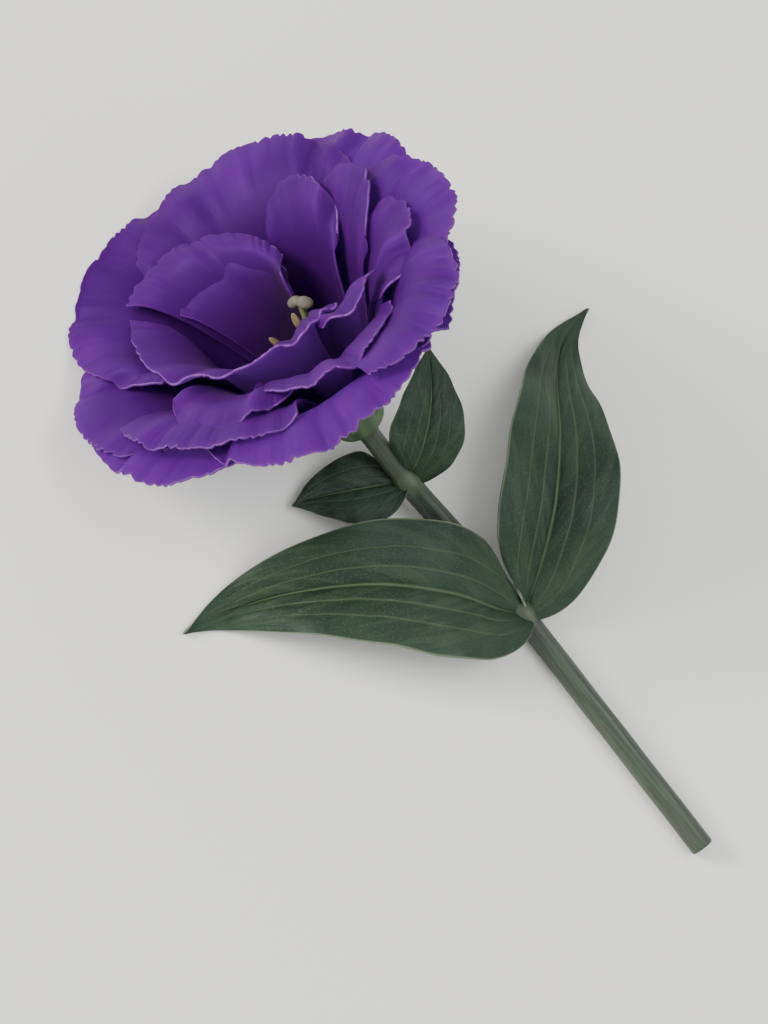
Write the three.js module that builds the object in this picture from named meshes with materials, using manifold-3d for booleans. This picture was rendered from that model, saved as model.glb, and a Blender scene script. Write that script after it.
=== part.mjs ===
// A cut lisianthus: one double bloom on its leafy stem, lying on a flat surface.
// Millimetres, +Z up. The surface is z = 0, the stem runs towards +X, and the bloom faces -X and upwards.

import * as THREE from "three";
import { mergeVertices } from "three/addons/utils/BufferGeometryUtils.js";
import Module from "manifold-3d";

const wasm = await Module();
wasm.setup();

// Where the bloom lies: the centre of the disc that its parts sit on, and how far its axis rises from the surface
const receptacleCentre = new THREE.Vector3(-21.3, -2.7, 14.2);
const axisTilt = 32;

// Clear space kept between neighbouring pieces
const seatGap = 0.3;

// Petals
const petalThickness = 0.6;
const petalRootRadius = 3.25;
const petalRootHeight = 4.0;
const petalRootSpan = 36;
// A petal leaves the tube at this angle from the axis, plus more for each millimetre that it reaches
const petalRootLean = 22;
const petalRootLeanPerReach = 1.1;
// How far the root's and the margin's directions carry into the blade, as shares of its length
const petalRootPull = 0.38;
const petalTipPull = 0.42;
// Where a petal reaches farther than at its middle, its margin leans over more and lies lower, per millimetre
const petalLeanGain = 2.0;
const petalRiseLoss = 0.06;
const floorSoftness = 2.2;

// The corolla's tube, which the petals grow from
const tubeInner = 2.7;
const tubeOuter = 3.7;
const tubeFlare = 0.6;
const tubeHeight = 7;

// Calyx: a cup round the tube with five narrow keeled sepals
const calyxInner = 4.0;
const calyxOuter = 4.6;
const calyxFoot = -1.6;
const calyxHeight = 3.4;
const sepalCount = 5;
const sepalFirstAngle = 12;
const sepalHalfWidth = 1.3;
const sepalTipHalfWidth = 0.35;
const sepalKeel = 0.55;
const sepalThickness = 0.65;
const sepalShares = [0.12, 0.25, 0.38, 0.5, 0.62];
const sepalTipLift = 1.1;

// Stamens: pale filaments on a low ring round the ovary, each with an anther
const stamenCount = 5;
const stamenFirstAngle = -20;
const stamenRingInner = 1.9;
const stamenRingOuter = 2.4;
const stamenRingTop = 1.3;
const filamentRadius = 0.33;
const filamentLine = [[2.15, 0.8], [2.4, 5.5], [3.0, 12], [4.0, 18.5]];
const antherSize = [0.7, 0.7, 1.6];
const antherTilt = 25;
const antherLift = 0.8;

// Pistil: ovary, a style that leans to one side and a stigma of two lobes
const ovaryFoot = 1.6;
const ovaryRadius = 1.9;
const ovaryShoulder = 8.5;
const ovaryTop = 12.3;
const styleRadius = 0.65;
const styleFoot = 10.5;
const stigmaAt = new THREE.Vector3(2.0, 2.9, 25);
const lobeSize = [1.5, 1.1, 0.85];
const lobeSpread = 1.0;
const lobeTilt = 18;

// Stem: straight behind the bloom, a bend down to the surface, then straight along it with a flat underside
const stemSides = 10;
const stemRadius = 2.0;
const stalkRadius = 1.75;
const receptacleRadius = 3.7;
const receptacleLength = 1;
const receptacleTaper = 5;
const stalkStraight = 9;
const bendReach = new THREE.Vector3(36, -6.5, 0);
const bendPull = 13;
const lyingTurn = -20;
const lyingLength = 48;
const bractNodeAt = 17;
const leafNodeAt = 47;
const nodeSwelling = 0.55;
const nodeHalfLength = 2.2;

// Leaves: how their edges sag, wave and clasp the stem, and how softly they keep to their own side of it
const leafTaper = 1.15;
const leafSag = 0.22;
const leafWave = 0.04;
const leafRootHalfWidth = 0.3;
const claspAngle = 38;
const claspLength = 0.05;
const leafFloorSoftness = 1.0;
const leafSideSoftness = 1.2;

// The rows of petals from the outside in. Every petal gives its angle round the bloom in degrees (0 at the top of the
// bloom as it lies, 90 towards +Y), the reach of its tip from the axis, the rise of its tip above the receptacle, half
// of its width, the lean of its margin from the axis in degrees, how much the reach falls from its middle to its far
// side (the petals wind round the throat), how much both sides reach beyond the middle, the height of its waves, and
// the share by which its corners are rounded off
const outerRow = [
  { angle: 10, reach: 33.2, rise: 27.6, half: 23, lean: 92, wind: 1.6, curl: 0, wave: 1.1, droop: 0.24 },
  { angle: 98, reach: 35, rise: 29, half: 27, lean: 96, wind: 1.6, curl: 0, wave: 1.0, droop: 0.24 },
  { angle: 172, reach: 37.5, rise: 27, half: 28, lean: 88, wind: 1.6, curl: 0, wave: 0.8, droop: 0.24 },
  { angle: 246, reach: 36.3, rise: 27.6, half: 28.6, lean: 91, wind: -0.8, curl: 0, wave: 0.9, droop: 0.22 },
  { angle: 318, reach: 36.2, rise: 28.6, half: 29.6, lean: 97, wind: -0.6, curl: 0, wave: 1.1, droop: 0.2 },
];
const secondRow = [
  { angle: 48, reach: 33.5, rise: 31, half: 22, lean: 86, wind: 1.8, curl: 0, wave: 1.1, droop: 0.2 },
  { angle: 130, reach: 35.7, rise: 30.9, half: 27.4, lean: 94, wind: -1, curl: 0, wave: 0.8, droop: 0.17 },
  { angle: 187, reach: 39.6, rise: 30, half: 29.5, lean: 101, wind: 6, curl: -9.6, wave: 0.7, droop: 0.1 },
  { angle: 230, reach: 36.3, rise: 29, half: 19, lean: 88, wind: 0.6, curl: 0, wave: 0.7, droop: 0.18 },
  { angle: 275, reach: 30.5, rise: 31.3, half: 18, lean: 80, wind: 2, curl: 4, wave: 0.8, droop: 0.12 },
  { angle: 1, reach: 36, rise: 31.3, half: 17.5, lean: 99, wind: 1.8, curl: 0, wave: 1.0, droop: 0.13 },
];
const middleRow = [
  { angle: 38, reach: 26, rise: 32, half: 13, lean: 68, wind: -1, curl: 0, wave: 1.2, droop: 0.2 },
  { angle: 76, reach: 25.5, rise: 32.5, half: 11, lean: 62, wind: -2, curl: 0, wave: 0.9, droop: 0.24 },
  { angle: 277, reach: 26.5, rise: 30.6, half: 15, lean: 90, wind: 0.6, curl: 0, wave: 0.9, droop: 0.2 },
  { angle: 325, reach: 25.8, rise: 31.2, half: 18.3, lean: 72, wind: -4, curl: -3, wave: 1.0, droop: 0.14 },
];
const innerRow = [
  { angle: 101, reach: 23, rise: 32.5, half: 9.5, lean: 56, wind: -2, curl: 0, wave: 0.8, droop: 0.24 },
  { angle: 150, reach: 21.5, rise: 31.2, half: 14, lean: 76, wind: -10, curl: 0, wave: 0.5, droop: 0.1 },
  { angle: 150, reach: 16.5, rise: 28.8, half: 10.5, lean: 56, wind: -6, curl: 0, wave: 0.5, droop: 0.12 },
  { angle: 279, reach: 15, rise: 31.5, half: 22.4, lean: 46, wind: 8.5, curl: 4.5, wave: 1.0, droop: 0.06 },
  { angle: 2, reach: 18, rise: 32, half: 6.6, lean: 62, wind: -3, curl: 0, wave: 1.3, droop: 0.1 },
];
const petals = [...outerRow, ...secondRow, ...middleRow, ...innerRow];

const degrees = Math.PI / 180;
const bloomUp = new THREE.Vector3(Math.cos(axisTilt * degrees), 0, Math.sin(axisTilt * degrees));

// Squeezes what is lower than the softness into the space above zero
function squeeze(value, softness) {
  return value < softness ? softness * Math.exp((value - softness) / softness) : value;
}

// A point of a cubic curve in the half-plane of radius and height, with its direction
function profileAt(reach, rise, lean, share) {
  const start = new THREE.Vector2(petalRootRadius, petalRootHeight);
  const tip = new THREE.Vector2(reach, rise);
  const span = start.distanceTo(tip);
  const rootLean = (petalRootLean + petalRootLeanPerReach * reach) * degrees;
  const tipLean = lean * degrees;
  const near = new THREE.Vector2(Math.sin(rootLean), Math.cos(rootLean));
  near.multiplyScalar(petalRootPull * span).add(start);
  const far = new THREE.Vector2(-Math.sin(tipLean), -Math.cos(tipLean));
  far.multiplyScalar(petalTipPull * span).add(tip);
  const curve = new THREE.CubicBezierCurve(start, near, far, tip);
  return { point: curve.getPoint(share), direction: curve.getTangent(share) };
}

// The petal's middle surface in the bloom's own frame: u runs from its root to its margin, v across it from -1 to 1
function petalPoint(petal, order, u, v) {
  const side = Math.abs(v);
  const share = u * (1 - petal.droop * Math.pow(side, 2.6) * u);
  const farther = petal.curl * v * v - petal.wind * v;
  const rise = petal.rise - petalRiseLoss * Math.max(farther, 0);
  const lean = petal.lean + petalLeanGain * farther;
  const { point, direction } = profileAt(petal.reach + farther, rise, lean, share);
  const marginSpan = petal.half / petal.reach;
  const rootSpan = Math.min(petalRootSpan * degrees, 1.1 * marginSpan);
  const span = THREE.MathUtils.lerp(rootSpan, marginSpan, THREE.MathUtils.smoothstep(share, 0, 0.8));
  const turn = petal.angle * degrees + v * span;
  const phase = order * 2.4;
  const ripple = Math.sin(3.4 * v + phase) * 0.6 + Math.sin(7.1 * v + 2 * phase) * 0.4;
  const offset = petal.wave * u * u * (0.35 + 0.65 * side) * ripple;
  const radius = point.x - direction.y * offset;
  const height = point.y + direction.x * offset;
  return new THREE.Vector3(radius * Math.cos(turn), radius * Math.sin(turn), height);
}

// Height above the surface of a point in the bloom's frame
function heightOf(point) {
  return receptacleCentre.z + point.dot(bloomUp);
}

// What would reach the surface bends up softly and lies against it
function bendOffSurface(point) {
  const height = heightOf(point);
  return point.addScaledVector(bloomUp, squeeze(height, floorSoftness) - height);
}

// A thin closed blade from its middle surface. Both faces have the same triangles, so they never cross
function bladeGeometry(pointAt, rows, columns, thickness, settle) {
  const grid = [];
  for (let i = 0; i <= rows; i++) {
    const line = [];
    for (let j = 0; j <= columns; j++) line.push(pointAt(i / rows, (2 * j) / columns - 1));
    grid.push(line);
  }
  const positions = [];
  for (const face of [1, -1]) {
    for (let i = 0; i <= rows; i++) {
      for (let j = 0; j <= columns; j++) {
        const along = grid[Math.min(i + 1, rows)][j].clone().sub(grid[Math.max(i - 1, 0)][j]);
        const across = grid[i][Math.min(j + 1, columns)].clone().sub(grid[i][Math.max(j - 1, 0)]);
        const normal = along.cross(across).normalize();
        const corner = grid[i][j].clone().addScaledVector(normal, face * 0.5 * thickness);
        positions.push(...settle(corner).toArray());
      }
    }
  }
  const front = (i, j) => i * (columns + 1) + j;
  const back = (i, j) => (rows + 1) * (columns + 1) + front(i, j);
  const index = [];
  for (let i = 0; i < rows; i++) {
    for (let j = 0; j < columns; j++) {
      index.push(front(i, j), front(i + 1, j), front(i + 1, j + 1));
      index.push(front(i, j), front(i + 1, j + 1), front(i, j + 1));
      index.push(back(i, j), back(i + 1, j + 1), back(i + 1, j));
      index.push(back(i, j), back(i, j + 1), back(i + 1, j + 1));
    }
  }
  const rim = (i0, j0, i1, j1) => {
    index.push(front(i1, j1), front(i0, j0), back(i0, j0));
    index.push(front(i1, j1), back(i0, j0), back(i1, j1));
  };
  for (let i = 0; i < rows; i++) {
    rim(i, 0, i + 1, 0);
    rim(i + 1, columns, i, columns);
  }
  for (let j = 0; j < columns; j++) {
    rim(rows, j, rows, j + 1);
    rim(0, j + 1, 0, j);
  }
  return indexedGeometry(positions, index);
}

function indexedGeometry(positions, index) {
  const geometry = new THREE.BufferGeometry();
  geometry.setAttribute("position", new THREE.Float32BufferAttribute(positions, 3));
  geometry.setIndex(index);
  return geometry;
}

// A closed rod through rings of equal sides: frameAt(s) gives centre, across and up, radiusAt(s) its radius
function rodGeometry(stops, sides, frameAt, radiusAt, settle) {
  const positions = [];
  for (const stop of stops) {
    const { centre, across, up } = frameAt(stop);
    for (let k = 0; k < sides; k++) {
      const turn = ((k + 0.5) / sides) * 2 * Math.PI - Math.PI / 2;
      const corner = centre.clone();
      corner.addScaledVector(across, radiusAt(stop) * Math.cos(turn));
      corner.addScaledVector(up, radiusAt(stop) * Math.sin(turn));
      positions.push(...settle(corner).toArray());
    }
  }
  const index = [];
  for (let i = 0; i < stops.length - 1; i++) {
    for (let k = 0; k < sides; k++) {
      const a = i * sides + k;
      const b = i * sides + ((k + 1) % sides);
      index.push(a, b, b + sides, a, b + sides, a + sides);
    }
  }
  const last = (stops.length - 1) * sides;
  for (let k = 1; k < sides - 1; k++) {
    index.push(0, k + 1, k);
    index.push(last, last + k, last + k + 1);
  }
  return indexedGeometry(positions, index);
}

// A closed geometry as a solid that can be joined and cut
function solidOf(geometry) {
  const bare = geometry.clone();
  bare.deleteAttribute("normal");
  bare.deleteAttribute("uv");
  const merged = mergeVertices(bare, 1e-4);
  return new wasm.Manifold(
    new wasm.Mesh({
      numProp: 3,
      vertProperties: merged.attributes.position.array,
      triVerts: new Uint32Array(merged.index.array),
    }),
  );
}

// The largest body of a solid as a geometry: loose scraps and sealed pockets are left behind
function geometryOf(solid) {
  const bodies = solid.decompose().sort((a, b) => b.volume() - a.volume());
  const mesh = bodies[0].getMesh();
  const geometry = new THREE.BufferGeometry();
  geometry.setAttribute("position", new THREE.Float32BufferAttribute(mesh.vertProperties, 3));
  geometry.setIndex(new THREE.BufferAttribute(mesh.triVerts, 1));
  geometry.computeVertexNormals();
  return geometry;
}

// A ring or a body of revolution round the bloom's axis, from [radius, height] points
function turned(points, segments) {
  const profile = points.map(([radius, height]) => new THREE.Vector2(radius, height));
  return new THREE.LatheGeometry(profile, segments).rotateX(Math.PI / 2);
}

function stay(point) {
  return point;
}

// Keeps a corner from passing through the surface, in the bloom's frame and in the flower's
function seatBloomCorner(point) {
  const height = heightOf(point);
  return height < 0 ? point.addScaledVector(bloomUp, -height) : point;
}

function seatCorner(point) {
  return point.setZ(Math.max(point.z, 0));
}

// The corolla: every petal sunk into the wall of one short tube
function petalsGeometry() {
  const tubeProfile = [
    [tubeInner, seatGap],
    [tubeOuter, seatGap],
    [tubeOuter + 0.2 * tubeFlare, tubeHeight * 0.5],
    [tubeOuter + tubeFlare, tubeHeight],
    [tubeInner + tubeFlare, tubeHeight],
    [tubeInner, seatGap],
  ];
  let corolla = solidOf(turned(tubeProfile, 20));
  petals.forEach((petal, order) => {
    const pointAt = (u, v) => bendOffSurface(petalPoint(petal, order, u, v));
    const wide = petal.half > 17;
    const blade = bladeGeometry(pointAt, wide ? 7 : 6, wide ? 8 : 6, petalThickness, seatBloomCorner);
    corolla = corolla.add(solidOf(blade));
  });
  return geometryOf(corolla);
}

// The middle line of a sepal: up the wall of the cup, then along the outer petals and clear of them
function sepalSpine() {
  const { reach, rise, lean } = outerRow[2];
  const wallMiddle = 0.5 * (calyxInner + calyxOuter) + 0.2;
  const points = [new THREE.Vector2(wallMiddle, 0.2 * calyxHeight), new THREE.Vector2(wallMiddle, 0.7 * calyxHeight)];
  for (const share of sepalShares) {
    const { point, direction } = profileAt(reach, rise, lean, share);
    const offset = 0.5 * (petalThickness + sepalThickness) + 1.5 * seatGap + sepalTipLift * share;
    points.push(new THREE.Vector2(point.x + direction.y * offset, point.y - direction.x * offset));
  }
  return new THREE.SplineCurve(points);
}

// The calyx: a cup wall with keeled sepals that rise outside the petals
function calyxGeometry() {
  const wall = [
    [calyxInner, calyxFoot],
    [calyxOuter, calyxFoot + 0.4],
    [calyxOuter + 0.3, calyxHeight],
    [calyxInner + 0.2, calyxHeight],
    [calyxInner, calyxFoot],
  ];
  let calyx = solidOf(turned(wall, 20));
  const spine = sepalSpine();
  for (let k = 0; k < sepalCount; k++) {
    const angle = (sepalFirstAngle + (360 / sepalCount) * k) * degrees;
    const pointAt = (u, v) => {
      const middle = spine.getPoint(u);
      const half = sepalHalfWidth * (1 - u) ** 0.7 + sepalTipHalfWidth;
      const turn = angle + (v * half) / middle.x;
      const radius = middle.x + sepalKeel * (1 - Math.abs(v)) * (1 - u);
      return new THREE.Vector3(radius * Math.cos(turn), radius * Math.sin(turn), middle.y);
    };
    calyx = calyx.add(solidOf(bladeGeometry(pointAt, 8, 2, sepalThickness, stay)));
  }
  return geometryOf(calyx);
}

// The stamens: a low ring, filaments that lean outwards and an anther on each
function stamensGeometry() {
  const ring = [
    [stamenRingInner, seatGap],
    [stamenRingOuter, seatGap],
    [stamenRingOuter, stamenRingTop],
    [stamenRingInner, stamenRingTop],
    [stamenRingInner, seatGap],
  ];
  let stamens = solidOf(turned(ring, 20));
  const lean = new THREE.SplineCurve(filamentLine.map(([radius, height]) => new THREE.Vector2(radius, height)));
  const stops = [0, 0.2, 0.4, 0.6, 0.8, 1];
  for (let k = 0; k < stamenCount; k++) {
    const angle = (stamenFirstAngle + (360 / stamenCount) * k) * degrees;
    const outward = new THREE.Vector3(Math.cos(angle), Math.sin(angle), 0);
    const sideways = new THREE.Vector3(-Math.sin(angle), Math.cos(angle), 0);
    const frameAt = (share) => {
      const middle = lean.getPoint(share);
      const centre = outward.clone().multiplyScalar(middle.x).setZ(middle.y);
      return { centre, across: outward, up: sideways };
    };
    stamens = stamens.add(solidOf(rodGeometry(stops, 5, frameAt, () => filamentRadius, stay)));
    const tip = lean.getPoint(1);
    const anther = new THREE.SphereGeometry(1, 6, 5);
    anther.rotateX(Math.PI / 2).scale(...antherSize);
    anther.rotateY(antherTilt * degrees).rotateZ(angle);
    anther.translate(outward.x * tip.x, outward.y * tip.x, tip.y + antherLift);
    stamens = stamens.add(solidOf(anther));
  }
  return geometryOf(stamens);
}

function pistilGeometry() {
  const profile = [
    [0, seatGap],
    [ovaryFoot, seatGap],
    [ovaryFoot, stamenRingTop + seatGap],
    [ovaryRadius, 0.5 * ovaryShoulder],
    [ovaryRadius, ovaryShoulder],
    [styleRadius, ovaryTop],
    [0, ovaryTop],
  ];
  let pistil = solidOf(turned(profile, 10));
  const styleRise = stigmaAt.z - styleFoot;
  const frameAt = (share) => {
    const away = 0.5 * (share + THREE.MathUtils.smoothstep(share, 0, 1));
    const centre = new THREE.Vector3(stigmaAt.x * away, stigmaAt.y * away, styleFoot + styleRise * share);
    return { centre, across: new THREE.Vector3(1, 0, 0), up: new THREE.Vector3(0, 1, 0) };
  };
  const stops = [0, 0.2, 0.4, 0.6, 0.8, 1];
  pistil = pistil.add(solidOf(rodGeometry(stops, 6, frameAt, () => styleRadius, stay)));
  for (const side of [-1, 1]) {
    const lobe = new THREE.SphereGeometry(1, 8, 6);
    lobe.scale(...lobeSize).rotateY(side * lobeTilt * degrees);
    lobe.translate(stigmaAt.x + side * lobeSpread, stigmaAt.y, stigmaAt.z);
    pistil = pistil.add(solidOf(lobe));
  }
  return geometryOf(pistil);
}

// The stem's middle line, from the receptacle to the cut end
const backwards = new THREE.Vector3(Math.cos(axisTilt * degrees), 0, -Math.sin(axisTilt * degrees));
const lyingHeight = stemRadius * Math.cos(Math.PI / stemSides);
const lyingWay = new THREE.Vector3(Math.cos(lyingTurn * degrees), Math.sin(lyingTurn * degrees), 0);
const stalkEnd = receptacleCentre.clone().addScaledVector(backwards, stalkStraight);
const lyingStart = stalkEnd.clone().add(bendReach).setZ(lyingHeight);
const stemLine = new THREE.CurvePath();
stemLine.add(new THREE.LineCurve3(receptacleCentre, stalkEnd));
stemLine.add(
  new THREE.CubicBezierCurve3(
    stalkEnd,
    stalkEnd.clone().addScaledVector(backwards, bendPull),
    lyingStart.clone().addScaledVector(lyingWay, -bendPull),
    lyingStart,
  ),
);
stemLine.add(new THREE.LineCurve3(lyingStart, lyingStart.clone().addScaledVector(lyingWay, lyingLength)));
const stemLength = stemLine.getLength();

function stemFrame(distance) {
  const share = distance / stemLength;
  const centre = stemLine.getPointAt(share);
  const along = stemLine.getTangentAt(share);
  const across = new THREE.Vector3(0, 0, 1).cross(along).normalize();
  return { centre, across, up: along.clone().cross(across), along };
}

function stemRadiusAt(distance) {
  if (distance < receptacleLength + receptacleTaper) {
    const share = Math.max(0, distance - receptacleLength) / receptacleTaper;
    return stalkRadius + (receptacleRadius - stalkRadius) * (1 - share) ** 2;
  }
  const body = distance < bractNodeAt ? stalkRadius : stemRadius;
  const swell = (node) => nodeSwelling * Math.max(0, 1 - Math.abs(distance - node) / nodeHalfLength);
  return body + swell(bractNodeAt) + swell(leafNodeAt);
}

function stemGeometry(extra, settle) {
  const stops = [0, 1, 2, 3.2, 4.5, 6, 9, 12];
  for (const node of [bractNodeAt, leafNodeAt]) {
    stops.push(node - nodeHalfLength, node - 0.4 * nodeHalfLength, node, node + nodeHalfLength);
  }
  stops.push(22, 25, 28, 31, 34, 38, 60, 75, stemLength);
  stops.sort((a, b) => a - b);
  return rodGeometry(stops, stemSides, stemFrame, (distance) => stemRadiusAt(distance) + extra, settle);
}

// A leaf or bract. Its middle line runs through points given along its heading, to the side and above the surface
function leafGeometry({ node, heading, line, half, fold, rows, columns, widest, thickness }) {
  const { centre: start, across: stemSide } = stemFrame(node);
  const forward = new THREE.Vector3(Math.cos(heading * degrees), Math.sin(heading * degrees), 0);
  const sideways = new THREE.Vector3(-forward.y, forward.x, 0);
  const ownSide = stemSide.clone().multiplyScalar(Math.sign(stemSide.dot(forward)));
  const points = line.map(([along, side, height]) => {
    const point = start.clone().setZ(0).addScaledVector(forward, along).addScaledVector(sideways, side);
    return point.setZ(height);
  });
  const spine = new THREE.CatmullRomCurve3([start.clone(), ...points]);
  const swellPower = (leafTaper * widest) / (1 - widest);
  const outline = (u) => (u + 0.015) ** swellPower * (1 - u) ** leafTaper;
  const widestOutline = outline(widest);
  const besideStem = (point) => point.clone().sub(start).dot(ownSide);
  const pointAt = (u, v) => {
    const centre = spine.getPointAt(u);
    const along = spine.getTangentAt(u);
    const across = new THREE.Vector3(0, 0, 1).cross(along).normalize();
    const up = along.clone().cross(across);
    const reach = v * ((half * outline(u)) / widestOutline + leafRootHalfWidth);
    const angle = (fold + claspAngle * Math.exp(-u / claspLength)) * degrees;
    const sag = leafSag * Math.abs(v) * Math.abs(reach);
    const point = centre.addScaledVector(across, reach * Math.cos(angle));
    point.addScaledVector(up, Math.abs(reach) * Math.sin(angle) - sag);
    point.z += leafWave * half * Math.sin(9 * u + 2 * Math.sign(v)) * Math.abs(v);
    point.z = squeeze(point.z, leafFloorSoftness);
    const distance = besideStem(point);
    return point.addScaledVector(ownSide, squeeze(distance, leafSideSoftness) - distance);
  };
  const settle = (point) => {
    const distance = besideStem(point);
    point.addScaledVector(ownSide, Math.max(0, 0.5 * seatGap - distance));
    return seatCorner(point);
  };
  const blade = solidOf(bladeGeometry(pointAt, rows, columns, thickness, settle));
  return geometryOf(blade.subtract(solidOf(stemGeometry(seatGap, stay))));
}

const flower = new THREE.Group();
const bloom = new THREE.Group();
bloom.position.copy(receptacleCentre);
bloom.rotation.y = -(90 - axisTilt) * degrees;
flower.add(bloom);

function finish(color, roughness) {
  return new THREE.MeshStandardMaterial({ color, roughness, metalness: 0, side: THREE.DoubleSide });
}

function place(group, name, geometry, material) {
  const mesh = new THREE.Mesh(geometry, material);
  mesh.name = name;
  group.add(mesh);
}

place(bloom, "petals", petalsGeometry(), finish(0x5a3488, 0.55));
place(bloom, "stamens", stamensGeometry(), finish(0xc9b45a, 0.6));
place(bloom, "pistil", pistilGeometry(), finish(0x8f9a45, 0.55));
place(bloom, "calyx", calyxGeometry(), finish(0x4a5c3e, 0.6));
place(flower, "stem", geometryOf(solidOf(stemGeometry(0, seatCorner))), finish(0x46523c, 0.6));

const leafFinish = finish(0x3c5240, 0.55);
const leaves = {
  leaf_left: {
    node: leafNodeAt,
    heading: 212,
    line: [[6, 0, 5], [16, -1, 9.5], [30, -2, 9.5], [44, -1, 4.2], [53, 1.5, 0.2], [60, 5, 0.9]],
    half: 11.5,
    fold: 20,
    rows: 13,
    columns: 6,
    widest: 0.34,
    thickness: 0.7,
  },
  leaf_right: {
    node: leafNodeAt,
    heading: 108,
    line: [[6, 0, 5.5], [16, 1, 10.5], [29, 1.5, 9.5], [41, 1, 4], [50, -1, 0.2], [56, -4, 1.2]],
    half: 11,
    fold: 22,
    rows: 13,
    columns: 6,
    widest: 0.34,
    thickness: 0.7,
  },
  bract_upper: {
    node: bractNodeAt,
    heading: 118,
    line: [[3, 0, 11], [8, 0, 14.5], [14, 0, 15.5], [20, 0, 14.5]],
    half: 6.5,
    fold: 16,
    rows: 9,
    columns: 4,
    widest: 0.38,
    thickness: 0.65,
  },
  bract_lower: {
    node: bractNodeAt,
    heading: 222,
    line: [[4, 0, 5.2], [9, 0, 4.2], [14, 0, 2.6], [19, 0.5, 1.6]],
    half: 6,
    fold: 16,
    rows: 9,
    columns: 4,
    widest: 0.38,
    thickness: 0.65,
  },
};
for (const [name, leaf] of Object.entries(leaves)) place(flower, name, leafGeometry(leaf), leafFinish);

export default flower;
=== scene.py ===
import math
import random

import bpy
import numpy as np
from mathutils import Matrix, Vector


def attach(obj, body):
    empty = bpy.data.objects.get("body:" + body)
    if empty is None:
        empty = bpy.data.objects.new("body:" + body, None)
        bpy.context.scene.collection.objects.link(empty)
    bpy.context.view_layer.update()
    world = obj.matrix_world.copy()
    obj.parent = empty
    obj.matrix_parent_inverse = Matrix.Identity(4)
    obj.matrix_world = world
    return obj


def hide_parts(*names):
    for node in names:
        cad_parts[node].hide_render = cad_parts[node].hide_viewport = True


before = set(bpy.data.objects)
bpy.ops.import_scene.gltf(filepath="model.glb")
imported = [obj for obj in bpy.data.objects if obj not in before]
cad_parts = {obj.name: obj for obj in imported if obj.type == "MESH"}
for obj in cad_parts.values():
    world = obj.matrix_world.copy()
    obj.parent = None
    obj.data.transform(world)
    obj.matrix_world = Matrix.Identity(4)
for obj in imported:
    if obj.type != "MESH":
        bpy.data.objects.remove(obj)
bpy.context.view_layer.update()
mm = 0.001


# Camera: looks down on the lying flower from the side that its bloom faces
cameraSettings = {
    "right": (0.8027, 0.4148, 0.4275),
    "up": (-0.5485, 0.7946, 0.2590),
    "aimAt": (-45.9, -2.7, 29.6),  # the middle of the bloom's mouth
    "aimPixel": (270, 300),
    "pixelsPerMm": 6.42,
    "distance": 900,
    "imageSize": (768, 1024),
    "sensor": 36,
    "clip": (0.01, 20),  # metres
}


def placeCamera(settings):
    right = Vector(settings["right"]).normalized()
    up = Vector(settings["up"])
    up = (up - up.dot(right) * right).normalized()
    back = right.cross(up)
    width, height = settings["imageSize"]
    scale = settings["pixelsPerMm"]
    shiftRight = (width / 2 - settings["aimPixel"][0]) / scale
    shiftUp = (settings["aimPixel"][1] - height / 2) / scale
    target = Vector(settings["aimAt"]) + shiftRight * right + shiftUp * up
    cameraData = bpy.data.cameras.new("camera")
    cameraData.sensor_width = settings["sensor"]
    cameraData.lens = settings["sensor"] * scale * settings["distance"] / height
    cameraData.clip_start, cameraData.clip_end = settings["clip"]
    camera = bpy.data.objects.new("camera", cameraData)
    bpy.context.scene.collection.objects.link(camera)
    turn = Matrix((right, up, back)).transposed().to_4x4()
    camera.matrix_world = Matrix.Translation((target + settings["distance"] * back) * mm) @ turn
    bpy.context.scene.camera = camera


placeCamera(cameraSettings)
print("camera placed")


# Shader helpers
class Wire:
    # A socket that can be written in sums
    def __init__(self, finish, socket):
        self.finish = finish
        self.socket = socket

    def maths(self, operation, first, second=0.0):
        return self.finish.add("ShaderNodeMath", {"operation": operation}, {0: first, 1: second})

    def __add__(self, other):
        return self.maths("ADD", self, other)

    def __radd__(self, other):
        return self.maths("ADD", other, self)

    def __sub__(self, other):
        return self.maths("SUBTRACT", self, other)

    def __rsub__(self, other):
        return self.maths("SUBTRACT", other, self)

    def __mul__(self, other):
        return self.maths("MULTIPLY", self, other)

    def __rmul__(self, other):
        return self.maths("MULTIPLY", other, self)

    def size(self):
        return self.maths("ABSOLUTE", self)

    def between(self, low, high):
        # 0 on the side of low, 1 on the side of high, smooth in between
        return self.finish.add(
            "ShaderNodeMapRange",
            {"interpolation_type": "SMOOTHSTEP"},
            {"Value": self, "From Min": low, "From Max": high},
        )


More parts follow.
